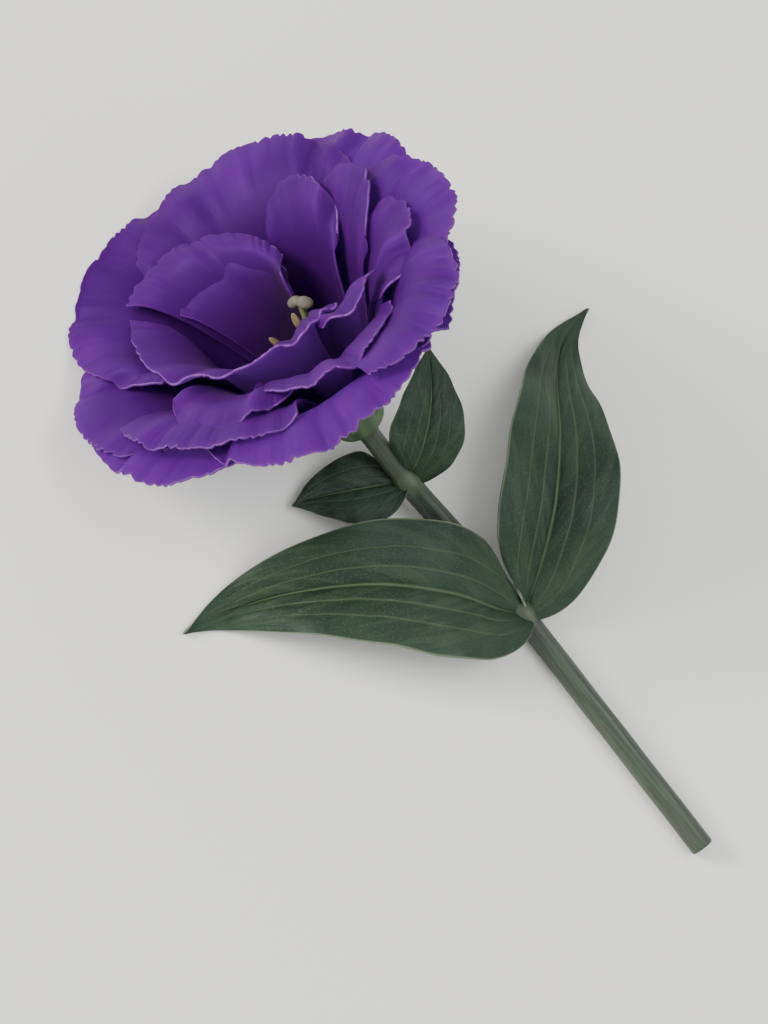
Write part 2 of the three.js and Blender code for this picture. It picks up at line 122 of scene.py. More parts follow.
class Finish:
    # One material and the nodes in it
    def __init__(self, name):
        self.material = bpy.data.materials.new(name)
        self.material.use_nodes = True
        self.tree = self.material.node_tree
        self.tree.nodes.clear()

    def add(self, kind, settings, inputs, output=0):
        # The settings come first, because some of them change the node's sockets
        node = self.tree.nodes.new(kind)
        for key, value in settings.items():
            setattr(node, key, value)
        for key, value in inputs.items():
            socket = node.inputs[key]
            if isinstance(value, Wire):
                self.tree.links.new(value.socket, socket)
            elif socket.type == "RGBA":
                socket.default_value = (*value, 1)
            else:
                socket.default_value = value
        return Wire(self, node.outputs[output]) if node.outputs else None

    def place(self):
        return self.add("ShaderNodeTexCoord", {}, {}, "Object")

    def attribute(self, name):
        settings = {"attribute_type": "GEOMETRY", "attribute_name": name}
        return self.add("ShaderNodeAttribute", settings, {}, "Fac")

    def vector(self, x, y, z):
        return self.add("ShaderNodeCombineXYZ", {}, {"X": x, "Y": y, "Z": z})

    def noise(self, where, scale, detail=2.0, roughness=0.5, distortion=0.0):
        inputs = {"Vector": where, "Scale": scale, "Detail": detail}
        inputs.update({"Roughness": roughness, "Distortion": distortion})
        return self.add("ShaderNodeTexNoise", {}, inputs)

    def blend(self, share, first, second):
        # Sockets 6 and 7 take the two colours, and output 2 gives the blend
        return self.add("ShaderNodeMix", {"data_type": "RGBA"}, {0: share, 6: first, 7: second}, 2)

    def bump(self, height, strength, distance):
        inputs = {"Strength": strength, "Distance": distance, "Height": height}
        return self.add("ShaderNodeBump", {}, inputs, "Normal")

    def surface(self, colour, roughness, normal=None, glow=0.0, glowColour=None, **constants):
        # Glow is the share of the light that passes through a blade
        inputs = {"Base Color": colour, "Roughness": roughness}
        if normal:
            inputs["Normal"] = normal
        inputs.update({key.replace("_", " "): value for key, value in constants.items()})
        shader = self.add("ShaderNodeBsdfPrincipled", {}, inputs)
        if glow:
            through = self.add("ShaderNodeBsdfTranslucent", {}, {"Color": glowColour})
            shader = self.add("ShaderNodeMixShader", {}, {0: glow, 1: shader, 2: through})
        self.add("ShaderNodeOutputMaterial", {}, {"Surface": shader})
        return self.material


# Meshes
meshGaps = {
    "seam": 0.002,  # millimetres within which the rims of a closed sheet become one
    "floor": 0.02,  # millimetres between the lowest points and the surface
}


def freeSelection():
    if bpy.context.object and bpy.context.object.mode != "OBJECT":
        bpy.ops.object.mode_set(mode="OBJECT")
    bpy.ops.object.select_all(action="DESELECT")


def pointsOf(piece):
    flat = np.empty(len(piece.data.vertices) * 3)
    piece.data.vertices.foreach_get("co", flat)
    return flat.reshape(-1, 3)


def setPoints(piece, points):
    piece.data.vertices.foreach_set("co", np.asarray(points, float).reshape(-1))
    piece.data.update()


def applyModifier(piece, kind, **settings):
    modifier = piece.modifiers.new(kind.lower(), kind)
    for key, value in settings.items():
        setattr(modifier, key, value)
    freeSelection()
    piece.select_set(True)
    bpy.context.view_layer.objects.active = piece
    bpy.ops.object.modifier_apply(modifier=modifier.name)


def mark(piece, name, values):
    layer = piece.data.attributes.new(name, "FLOAT", "POINT")
    layer.data.foreach_set("value", np.broadcast_to(values, len(piece.data.vertices)).astype(np.float32))


def addSheet(name, columns, rows, pointsAt, finishes, wall=0.0, rounding=0, closed=False, tone=0.0):
    # A grid laid through the points in millimetres that pointsAt gives for u along and v across
    freeSelection()
    bpy.ops.mesh.primitive_grid_add(x_subdivisions=columns, y_subdivisions=rows, size=2)
    sheet = bpy.context.object
    sheet.name = sheet.data.name = name
    flat = pointsOf(sheet)
    u = np.clip((flat[:, 1] + 1) / 2, 0, 1)
    v = np.clip(flat[:, 0], -1, 1)
    points, along = pointsAt(u, v)
    setPoints(sheet, points * mm)
    mark(sheet, "along", along)
    mark(sheet, "across", v)
    mark(sheet, "tone", tone)
    for finish in finishes:
        sheet.data.materials.append(finish)
    if closed:
        bpy.ops.object.mode_set(mode="EDIT")
        bpy.ops.mesh.select_all(action="SELECT")
        bpy.ops.mesh.remove_doubles(threshold=meshGaps["seam"] * mm)
        bpy.ops.mesh.normals_make_consistent(inside=False)
        bpy.ops.object.mode_set(mode="OBJECT")
    if wall:
        # The finishes are those of the underside, the upper side and the rim
        last = len(finishes) - 1
        applyModifier(
            sheet,
            "SOLIDIFY",
            thickness=wall * mm,
            offset=0,
            material_offset=min(1, last),
            material_offset_rim=min(2, last),
        )
    if rounding:
        applyModifier(sheet, "SUBSURF", levels=rounding, render_levels=rounding)
    freeSelection()
    sheet.select_set(True)
    bpy.ops.object.shade_smooth()
    return sheet


def joinPieces(pieces, name):
    freeSelection()
    for piece in pieces:
        piece.select_set(True)
    bpy.context.view_layer.objects.active = pieces[0]
    if len(pieces) > 1:
        bpy.ops.object.join()
    pieces[0].name = pieces[0].data.name = name
    return pieces[0]


def settle(piece):
    # Nothing goes below the surface that the flower lies on
    points = pointsOf(piece)
    points[:, 2] = np.maximum(points[:, 2], meshGaps["floor"] * mm)
    setPoints(piece, points)


def finishPiece(piece, node):
    settle(piece)
    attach(piece, "root")
    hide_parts(node)
    print("made", piece.name, len(piece.data.polygons))


# Shapes, in millimetres, with the flower's own sizes
flower = {
    "receptacle": (-21.3, -2.7, 14.2),
    "axisTilt": 32,
    "floorSoftness": 2.2,
}
tilt = math.radians(flower["axisTilt"])
receptacle = np.array(flower["receptacle"])
bloomTurn = np.array([[math.sin(tilt), 0, -math.cos(tilt)], [0, 1, 0], [math.cos(tilt), 0, math.sin(tilt)]])
upwards = np.array([0.0, 0.0, 1.0])


def fromBloom(points):
    # From the bloom's own frame to where it lies
    return points @ bloomTurn.T + receptacle


def squeeze(value, softness):
    # Values under softness are bent up so that none reaches 0
    bent = softness * np.exp((np.minimum(value, softness) - softness) / softness)
    return np.where(value < softness, bent, value)


def liftOff(points):
    # What would reach the surface bends up softly and lies against it
    lifted = points.copy()
    lifted[:, 2] = squeeze(points[:, 2], flower["floorSoftness"])
    return lifted


def smooth(value, low, high):
    share = np.clip((value - low) / (high - low), 0, 1)
    return share * share * (3 - 2 * share)


def unit(vectors):
    return vectors / np.linalg.norm(vectors, axis=-1, keepdims=True)


def cubic(a, b, c, d, t):
    # A curve from a to d that b and c pull on, and the way that it runs
    t = np.asarray(t)[:, None]
    s = 1 - t
    point = s**3 * a + 3 * s**2 * t * b + 3 * s * t**2 * c + t**3 * d
    slope = 3 * s**2 * (b - a) + 6 * s * t * (c - b) + 3 * t**2 * (d - c)
    return point, unit(slope)


def lengthsOf(line):
    # How far along the line each of its points lies
    return np.concatenate([[0], np.cumsum(np.linalg.norm(np.diff(line, axis=0), axis=1))])


def pickAt(at, places, line):
    # The line's points at the wanted places
    return np.stack([np.interp(at, places, line[:, k]) for k in range(line.shape[1])], axis=1)


def frameAlong(at, places, line, step):
    # The line's points, with the ways level across it and up from it there
    ahead = pickAt(at + step, places, line)
    behind = pickAt(at - step, places, line)
    along = unit(ahead - behind)
    across = unit(np.cross(upwards, along))
    return pickAt(at, places, line), across, np.cross(along, across)


def smoothLine(corners, count, steps=24, evenness=0.0):
    # A smooth line through corners, as evenly spaced points.
    # An evenness of 0.5 suits corners at uneven distances.
    corners = np.array(corners, float)
    first = 2 * corners[0] - corners[1]
    last = 2 * corners[-1] - corners[-2]
    knots = np.vstack([first, corners, last])
    line = []
    for k in range(1, len(knots) - 2):
        a, b, c, d = knots[k - 1 : k + 3]
        before, here, after = [np.linalg.norm(q - p) ** evenness for p, q in ((a, b), (b, c), (c, d))]
        leaving = ((b - a) / before - (c - a) / (before + here) + (c - b) / here) * here
        arriving = ((c - b) / here - (d - b) / (here + after) + (d - c) / after) * here
        for t in np.linspace(0, 1, steps, endpoint=False):
            bend = (3 * (c - b) - 2 * leaving - arriving) * t**2
            twist = (2 * (b - c) + leaving + arriving) * t**3
            line.append(b + leaving * t + bend + twist)
    line.append(corners[-1])
    line = np.array(line)
    lengths = lengthsOf(line)
    return pickAt(np.linspace(0, lengths[-1], count), lengths, line)


def aboutAxis(x, y, height, angle):
    # Points turned about the bloom's axis
    east = x * np.cos(angle) - y * np.sin(angle)
    north = x * np.sin(angle) + y * np.cos(angle)
    return np.stack([east, north, height], axis=1)


def addTurned(name, columns, rows, profile, finish, along=None, tone=0.0):
    # A closed body turned round the bloom's axis from radius and height points
    corners = np.array(profile, float)
    lengths = lengthsOf(corners)

    def pointsAt(u, v):
        radius, height = pickAt(u * lengths[-1], lengths, corners).T
        place = u if along is None else along + 0 * u
        return fromBloom(aboutAxis(radius, 0 * radius, height, v * math.pi)), place

    return addSheet(name, columns, rows, pointsAt, [finish], closed=True, tone=tone)


# Petals
petalShape = {
    "wall": 0.42,
    "rootRadius": 3.25,
    "rootHeight": 4.0,
    "rootSpan": 36,  # degrees round the tube from the root's middle to its side, at most
    "rootLean": 22,  # degrees from the bloom's axis
    "rootLeanPerReach": 1.1,  # and how many more for each millimetre of reach
    "rootPull": 0.38,  # shares of the blade over which the root's and the margin's lean carry
    "tipPull": 0.42,
    "leanGain": 2.0,  # degrees that the margin leans further out for each millimetre of reach
    "riseLoss": 0.06,  # and how much lower it lies there
    "ruffles": ((11.0, 0.75), (6.3, 0.45), (3.9, 0.2)),  # wavelength and height along the margin
    "ruffleFrom": 0.55,  # share of the blade where the ruffles begin
    "calmLength": 3.9,  # they come and go over this length
    "calmest": 0.25,  # and this share of them is left where they go
    "ripples": ((3.4, 0.6), (7.1, 0.4)),  # how often the blade swells across, and the share of each swell
    "rippleStep": 2.4,  # how far the ripples shift from one petal to the next
    "toothSpacing": 1.9,
    "toothDepth": 0.9,
    "toothFrom": 0.86,
    "teeth": 96,  # how many depths are drawn for a margin
    "firstTooth": 40,  # the tooth at the middle of the margin
    "bladeLength": 46,  # makes the depth of a tooth a share of the blade
    "marginRoll": 0.8,
    "rollFrom": 0.84,
    "seed": 11,
    "seedStep": 17,
}
# A blade whose half width is at most narrowTo has narrowColumns
petalMesh = {"columns": 180, "narrowColumns": 110, "narrowTo": 17, "rows": 40, "crowding": 1.45}
# angle, reach, rise, half width, lean, wind, curl, wave and corner droop of each petal:
# wind sets one side of the margin further out than the other, and curl both sides
petalRows = {
    "petals_outer": (
        (10, 33.2, 27.6, 23, 92, 1.6, 0, 1.1, 0.24),
        (98, 35, 29, 27, 96, 1.6, 0, 1.0, 0.24),
        (172, 37.5, 27, 28, 88, 1.6, 0, 0.8, 0.24),
        (246, 36.3, 27.6, 28.6, 91, -0.8, 0, 0.9, 0.22),
        (318, 36.2, 28.6, 29.6, 97, -0.6, 0, 1.1, 0.2),
    ),
    "petals_second": (
        (48, 33.5, 31, 22, 86, 1.8, 0, 1.1, 0.2),
        (130, 35.7, 30.9, 27.4, 94, -1.0, 0, 0.8, 0.17),
        (187, 39.6, 30, 29.5, 101, 6, -9.6, 0.7, 0.1),
        (230, 36.3, 29, 19, 88, 0.6, 0, 0.7, 0.18),
        (275, 30.5, 31.3, 18, 80, 2.0, 4, 0.8, 0.12),
        (1, 36, 31.3, 17.5, 99, 1.8, 0, 1.0, 0.13),
    ),
    "petals_middle": (
        (38, 26, 32, 13, 68, -1.0, 0, 1.2, 0.2),
        (76, 25.5, 32.5, 11, 62, -2.0, 0, 0.9, 0.24),
        (277, 26.5, 30.6, 15, 90, 0.6, 0, 0.9, 0.2),
        (325, 25.8, 31.2, 18.3, 72, -4.0, -3, 1.0, 0.14),
    ),
    "petals_inner": (
        (101, 23, 32.5, 9.5, 56, -2.0, 0, 0.8, 0.24),
        (150, 21.5, 31.2, 14, 76, -10.0, 0, 0.5, 0.1),
        (150, 16.5, 28.8, 10.5, 56, -6.0, 0, 0.5, 0.12),
        (279, 15, 31.5, 22.4, 46, 8.5, 4.5, 1.0, 0.06),
        (2, 18, 32, 6.6, 62, -3.0, 0, 1.3, 0.1),
    ),
}


def petalProfile(reach, rise, lean, share):
    # The blade's middle line in radius and height, and the way it runs
    p = petalShape
    start = np.array([p["rootRadius"], p["rootHeight"]])
    tip = np.stack([reach, rise + 0 * reach], axis=1)
    span = np.linalg.norm(tip - start, axis=1)[:, None]
    rootLean = np.radians(p["rootLean"] + p["rootLeanPerReach"] * reach)
    near = start + p["rootPull"] * span * np.stack([np.sin(rootLean), np.cos(rootLean)], axis=1)
    tipLean = np.radians(lean + 0 * reach)
    far = tip - p["tipPull"] * span * np.stack([np.sin(tipLean), np.cos(tipLean)], axis=1)
    return cubic(start, near, far, tip, share)


def notchDepth(place, u, rng):
    # The share of the blade that the notches between the teeth of its margin take away
    p = petalShape
    number = place / p["toothSpacing"] + 0.4 * np.sin(place / 1.7 + rng.uniform(0, 6)) + p["firstTooth"]
    depths = np.array([rng.uniform(0.15, 1) ** 1.5 for _ in range(p["teeth"])])
    notch = np.abs(2 * (number % 1) - 1) ** 1.2 * depths[np.floor(number).astype(int) % p["teeth"]]
    return p["toothDepth"] / p["bladeLength"] * notch * smooth(u, p["toothFrom"], 1)


def bladeRelief(petal, order, u, v, rng):
    # How far the blade stands off its middle line: ripples, a frilled margin and its roll
    _, _, _, half, _, wind, _, wave, _ = petal
    p = petalShape
    place = v * half  # millimetres along the margin
    ripple = 0
    for number, (often, share) in enumerate(p["ripples"], 1):
        ripple = ripple + share * np.sin(often * v + number * order * p["rippleStep"])
    relief = wave * u * u * (0.35 + 0.65 * np.abs(v)) * ripple
    livelier = (0.5 + 0.5 * np.sin(place / p["calmLength"] + rng.uniform(0, 6))) ** 1.5
    gate = p["calmest"] + (1 - p["calmest"]) * livelier
    gate = gate * (1 + 0.1 * abs(wind) * smooth(v * np.sign(wind), 0.3, 1))
    frill = 0
    for length, height in p["ruffles"]:
        frill = frill + height * np.sin(2 * math.pi * place / length + rng.uniform(0, 6))
    relief = relief + frill * gate * wave * smooth(u, p["ruffleFrom"], 1) ** 1.7
    inward = 1 + 0.25 * abs(wind) * smooth(v * np.sign(wind), -0.1, 0.6)
    roll = p["marginRoll"] * rng.uniform(0.5, 1.3) * inward
    return relief - roll * (0.55 + 0.6 * gate) * smooth(u, p["rollFrom"], 1) ** 2


def petalPoints(petal, order, u, v):
    angle, reach, rise, half, lean, wind, curl, _, droop = petal
    p = petalShape
    rng = random.Random(p["seed"] + p["seedStep"] * order)
    share = u * (1 - droop * np.abs(v) ** 2.6 * u)
    share = share * (1 - notchDepth(v * half, u, rng))
    farther = curl * v * v - wind * v
    rise = rise - p["riseLoss"] * np.maximum(farther, 0)
    point, direction = petalProfile(reach + farther, rise, lean + p["leanGain"] * farther, share)
    relief = bladeRelief(petal, order, u, v, rng)
    radius = point[:, 0] - direction[:, 1] * relief
    height = point[:, 1] + direction[:, 0] * relief
    marginSpan = half / reach
    rootSpan = min(math.radians(p["rootSpan"]), 1.1 * marginSpan)
    span = rootSpan + (marginSpan - rootSpan) * smooth(share, 0, 0.8)
    local = aboutAxis(radius, 0 * radius, height, math.radians(angle) + v * span)
    return liftOff(fromBloom(local))


petalLook = {
    # throat: grey-brown near the axis, partly the petal bases' own colour and partly painted shade
    "throat": (0.036, 0.020, 0.040),
    "throatRadii": (12.5, 6.5),  # millimetres from the bloom's axis where the throat fades in
    "olive": (0.055, 0.045, 0.020),
    "deep": (0.044, 0.002, 0.098),
    "body": (0.066, 0.003, 0.132),
    "bright": (0.112, 0.010, 0.212),
    # A painted highlight: the pale colour along the margins, where they catch the light
    "marginHighlight": (0.140, 0.030, 0.240),
    "back": (0.085, 0.038, 0.130),
    "backFoot": (0.095, 0.090, 0.085),
    "roughness": 0.46,
    "glow": 0.45,
    "glowColour": (0.46, 0.19, 0.72),
    "glossTint": (0.75, 0.5, 1.0),
    "sheenTint": (0.8, 0.4, 1.0),
}


def petalMaterial(name, inner):
    finish = Finish(name)
    along = finish.attribute("along")
    across = finish.attribute("across")
    tone = finish.attribute("tone")
    place = finish.place()
    veinWay = finish.vector(across * 26 + tone * 9, along * 1.6, tone * 3)
    veins = finish.noise(veinWay, 1.0, 3.0, 0.6, 0.4)
    fineWay = finish.vector(across * 75 + tone * 5, along * 4, tone)
    fineVeins = finish.noise(fineWay, 1.0, 2.0, 0.5, 0.2)
    clouds = finish.noise(place, 85, 2.0, 0.55)
    grain = finish.noise(place, 1600, 2.0, 0.6)
    if inner:
        core = finish.attribute("core")
        # Darker towards the base: partly the petal's own deeper colour, partly painted shade deep in the
        # bloom
        colour = finish.blend(along.between(0.40, 0.80), petalLook["deep"], petalLook["body"])
        # Lighter with the random clouds and each petal's random tone, and towards the margin a painted
        # highlight
        light = clouds.between(0.38, 0.72) * 0.6 + tone * 0.35 + along.between(0.72, 1.0) * 0.5
        colour = finish.blend(light.between(0.1, 1.3), colour, petalLook["bright"])
        # Near the axis the faces turn grey-brown: partly their own colour, partly painted shade in the
        # throat
        colour = finish.blend(core.between(*petalLook["throatRadii"]), colour, petalLook["throat"])
        colour = finish.blend(along.between(0.34, 0.06) * 0.8, colour, petalLook["olive"])
    else:
        colour = finish.blend(along.between(0.55, 1.0) * 0.8, petalLook["back"], petalLook["body"])
        colour = finish.blend(clouds.between(0.35, 0.75) * 0.35, colour, petalLook["bright"])
        colour = finish.blend(along.between(0.34, 0.06), colour, petalLook["backFoot"])
    colour = finish.blend(veins.between(0.62, 0.36) * 0.34, colour, petalLook["deep"])
    colour = finish.blend(fineVeins.between(0.6, 0.4) * 0.24, colour, petalLook["deep"])
    # Painted highlight: a pale line along the margin, where it catches the light
    colour = finish.blend(along.between(0.975, 1.0) * 0.35, colour, petalLook["marginHighlight"])
    roughness = petalLook["roughness"] + 0.14 * fineVeins - 0.1 * clouds
    height = veins * 0.6 + fineVeins * 0.4 + grain * 0.12
    return finish.surface(
        colour,
        roughness,
        finish.bump(height, 0.55, 0.25 * mm),
        glow=petalLook["glow"],
        glowColour=petalLook["glowColour"],
        Specular_IOR_Level=0.2,
        Specular_Tint=petalLook["glossTint"],
        Sheen_Weight=0.1,
        Sheen_Roughness=0.4,
        Sheen_Tint=petalLook["sheenTint"],
    )


def petalEdgeMaterial():
    # The rim is the petal's colour with a patchy painted highlight towards the margin, where it catches the
    # light
    finish = Finish("petalEdge")
    clouds = finish.noise(finish.place(), 300, 2.0, 0.5)
    marginHighlight = finish.attribute("along").between(0.9, 0.99)
    pale = finish.blend(clouds.between(0.3, 0.7), petalLook["bright"], petalLook["marginHighlight"])
    colour = finish.blend(marginHighlight, petalLook["bright"], pale)
    return finish.surface(colour, 0.5, Specular_IOR_Level=0.4)


def makePetals():
    m = petalMesh
    finishes = [petalMaterial("petalBack", False), petalMaterial("petalFace", True), petalEdgeMaterial()]
    order = 0
    rng = random.Random(petalShape["seed"])
    for name, petals in petalRows.items():
        made = []
        for petal in petals:
            columns = m["columns"] if petal[3] > m["narrowTo"] else m["narrowColumns"]

            def pointsAt(u, v):
                # The rows crowd towards the margin, where the frills and teeth are
                crowded = 1 - (1 - u) ** m["crowding"]
                return petalPoints(petal, order, crowded, v), crowded

            blade = addSheet(
                name, columns, m["rows"], pointsAt, finishes, wall=petalShape["wall"], tone=rng.random()
            )
            made.append(blade)
            order += 1
        piece = joinPieces(made, name)
        local = (pointsOf(piece) / mm - receptacle) @ bloomTurn
        mark(piece, "core", np.hypot(local[:, 0], local[:, 1]))
        finishPiece(piece, "petals")


makePetals()


# Short tube that the petals grow from
tubeShape = {"inner": 2.8, "outer": 3.7, "flare": 0.6, "foot": 0.3, "height": 7.0}


def makeTube():
    t = tubeShape
    wall = [
        (t["inner"], t["foot"]),
        (t["outer"], t["foot"]),
        (t["outer"] + 0.2 * t["flare"], 0.5 * t["height"]),
        (t["outer"] + t["flare"], t["height"]),
        (t["inner"] + t["flare"], t["height"]),
        (t["inner"], t["foot"]),
    ]
    tube = addTurned("petals_tube", 48, 50, wall, petalMaterial("petalTube", False), along=0.05, tone=0.4)
    finishPiece(tube, "petals")


makeTube()


# Green parts
greenLook = {
    "stem": (0.048, 0.070, 0.041),
    "stemDark": (0.026, 0.038, 0.024),
    "stemPurple": (0.045, 0.037, 0.038),
    "pith": (0.32, 0.36, 0.20),
    "rind": (0.10, 0.14, 0.06),
    "fibres": (0.22, 0.22, 0.12),
    "leaf": (0.015, 0.038, 0.016),
    "leafDark": (0.008, 0.022, 0.010),
    "leafBloom": (0.054, 0.088, 0.062),
    "nerve": (0.105, 0.147, 0.074),
    "underside": (0.056, 0.089, 0.056),
    "rim": (0.200, 0.245, 0.150),
    "sepal": (0.050, 0.085, 0.033),
    "leafGlow": (0.120, 0.280, 0.060),
}
nerveSides = (0.30, 0.58)  # where a leaf's side nerves run, from its midrib at 0 to its margin at 1


def stemMaterial():
    finish = Finish("stemSkin")
    place = finish.place()
    across = finish.attribute("across")
    along = finish.attribute("along")
    streaks = finish.noise(finish.vector(across * 14, along * 9, 0.0), 1.0, 3.0, 0.6)
    clouds = finish.noise(place, 120, 3.0, 0.6)
    grain = finish.noise(place, 2400, 2.0, 0.6)
    colour = finish.blend(streaks.between(0.35, 0.65), greenLook["stemDark"], greenLook["stem"])
    colour = finish.blend(clouds.between(0.5, 0.72) * 0.45, colour, greenLook["stemPurple"])
    colour = finish.blend(clouds.between(0.45, 0.25) * 0.35, colour, greenLook["leafBloom"])
    node = finish.attribute("tone")
    colour = finish.blend(node.between(0.2, 1.0) * 0.4, colour, greenLook["nerve"])
    normal = finish.bump(streaks * 0.6 + grain * 0.15, 0.35, 0.2 * mm)
    return finish.surface(colour, 0.36 + 0.16 * clouds, normal, Specular_IOR_Level=0.5)


def cutMaterial():
    finish = Finish("stemCut")
    fibres = finish.noise(finish.place(), 2600, 2.0, 0.6)
    outward = finish.attribute("along").between(0.15, 0.75)
    colour = finish.blend(outward, greenLook["pith"], greenLook["rind"])
    colour = finish.blend(fibres.between(0.4, 0.7) * 0.5, colour, greenLook["fibres"])
    return finish.surface(colour, 0.6, finish.bump(fibres, 0.5, 0.15 * mm))


def leafMaterial(name, upper):
    finish = Finish(name)
    place = finish.place()
    across = finish.attribute("across")
    along = finish.attribute("along")
    side = across.size()
    # Nerves: the midrib and two pairs that run beside it and meet at the tip
    midrib = side.between(0.055, 0.012)
    wobble = finish.noise(place, 160, 1.0, 0.5) * 0.05
    first = (side + wobble - nerveSides[0]).size().between(0.03, 0.006)
    second = (side + wobble - nerveSides[1]).size().between(0.028, 0.006)
    nerves = (first + second * 0.8) * along.between(0.97, 0.8) * along.between(0.02, 0.14)
    branchWay = finish.vector(side * 7 - along * 16, across * 2.0, along * 3)
    branches = finish.noise(branchWay, 1.0, 2.0, 0.5, 0.3)
    clouds = finish.noise(place, 70, 3.0, 0.6)
    grain = finish.noise(place, 1500, 2.0, 0.6)
    if upper:
        colour = finish.blend(clouds.between(0.25, 0.65), greenLook["leafDark"], greenLook["leaf"])
        speckle = finish.noise(place, 3000, 2.0, 0.5)
        colour = finish.blend(speckle.between(0.52, 0.66) * 0.35, colour, greenLook["leafBloom"])
        colour = finish.blend(clouds.between(0.45, 0.8) * 0.35, colour, greenLook["leafBloom"])
    else:
        colour = finish.blend(clouds.between(0.3, 0.7), greenLook["leaf"], greenLook["underside"])
    colour = finish.blend(branches.between(0.5, 0.62) * 0.12, colour, greenLook["nerve"])
    colour = finish.blend(nerves * 0.34, colour, greenLook["nerve"])
    colour = finish.blend(midrib * 0.6, colour, greenLook["nerve"])
    colour = finish.blend(side.between(0.955, 0.99) * 0.7, colour, greenLook["rim"])
    height = branches * 0.5 - nerves * 0.35 - midrib * 0.4 + grain * 0.12
    return finish.surface(
        colour,
        0.44 + 0.16 * clouds,
        finish.bump(height, 0.6, 0.35 * mm),
        glow=0.08,
        glowColour=greenLook["leafGlow"],
        Specular_IOR_Level=0.34,
    )


def leafEdgeMaterial():
    finish = Finish("leafEdge")
    clouds = finish.noise(finish.place(), 400, 2.0, 0.5)
    colour = finish.blend(clouds.between(0.3, 0.7), greenLook["leafBloom"], greenLook["rim"])
    return finish.surface(colour, 0.5)


def sepalMaterial():
    finish = Finish("sepalSkin")
    across = finish.attribute("across")
    along = finish.attribute("along")
    streaks = finish.noise(finish.vector(across * 8, along * 5, 0.3), 1.0, 3.0, 0.6)
    clouds = finish.noise(finish.place(), 260, 2.0, 0.5)
    colour = finish.blend(streaks.between(0.35, 0.65), greenLook["leaf"], greenLook["sepal"])
    colour = finish.blend(across.size().between(0.45, 0.95) * 0.5, colour, greenLook["rim"])
    colour = finish.blend(across.size().between(0.2, 0.02) * 0.35, colour, greenLook["nerve"])
    colour = finish.blend(along.between(0.8, 1.0) * 0.5, colour, greenLook["stemPurple"])
    normal = finish.bump(streaks + clouds * 0.3, 0.5, 0.2 * mm)
    return finish.surface(colour, 0.48 + 0.1 * clouds, normal, Specular_IOR_Level=0.4)


# Stem
stemShape = {
    "radius": 1.95,
    "stalkRadius": 1.72,
    "receptacleRadius": 3.65,
    "receptacleLength": 1.0,
    "receptacleTaper": 5.0,
    "stalkStraight": 9,
    "bendReach": (36, -6.5, 0),
    "bendPull": 13,
    "lyingTurn": -20,
    "lyingLength": 48,
    "lyingHeight": 2.0 * math.cos(math.pi / 10),  # a ten-sided stem on one of its flats
    "bractNodeAt": 17,
    "leafNodeAt": 47,
    "nodeSwelling": 0.45,
    "nodeSpread": 1.54,  # how far along the stem a node swells
    "nodeBlush": 1.1,  # how far the paler skin spreads round a node
    "ribs": 4,
    "ribHeight": 0.018,  # shares of the radius
    "unevenness": 0.01,
    "columns": 36,
    "rows": 320,
    "discShare": 0.03,  # shares of the skin's rows that close its two ends
    "cutShare": 0.04,
    "cutDepth": 0.3,
}


def stemMiddle():
    # The stem's middle line, from under the petals to the cut
    s = stemShape
    backwards = np.array([math.cos(tilt), 0, -math.sin(tilt)])
    turn = math.radians(s["lyingTurn"])
    lyingWay = np.array([math.cos(turn), math.sin(turn), 0])
    stalkEnd = receptacle + s["stalkStraight"] * backwards
    lyingStart = stalkEnd + np.array(s["bendReach"], float)
    lyingStart[2] = s["lyingHeight"]
    bend, _ = cubic(
        stalkEnd,
        stalkEnd + s["bendPull"] * backwards,
        lyingStart - s["bendPull"] * lyingWay,
        lyingStart,
        np.linspace(0, 1, 400),
    )
    line = np.vstack([receptacle, bend, lyingStart + s["lyingLength"] * lyingWay])
    return line, lengthsOf(line)


stemLine, stemLengths = stemMiddle()
stemNodes = (stemShape["bractNodeAt"], stemShape["leafNodeAt"])


def stemFrame(distance):
    return frameAlong(np.atleast_1d(np.asarray(distance, float)), stemLengths, stemLine, 0.4)


def stemRadius(distance):
    s = stemShape
    share = np.clip((distance - s["receptacleLength"]) / s["receptacleTaper"], 0, 1)
    stalk = s["stalkRadius"] + (s["receptacleRadius"] - s["stalkRadius"]) * (1 - share) ** 2
    thicker = smooth(distance, s["bractNodeAt"] - 1, s["bractNodeAt"] + 1)
    radius = stalk + (s["radius"] - s["stalkRadius"]) * thicker
    for node in stemNodes:
        radius = radius + s["nodeSwelling"] * np.exp(-(((distance - node) / s["nodeSpread"]) ** 2))
    return radius


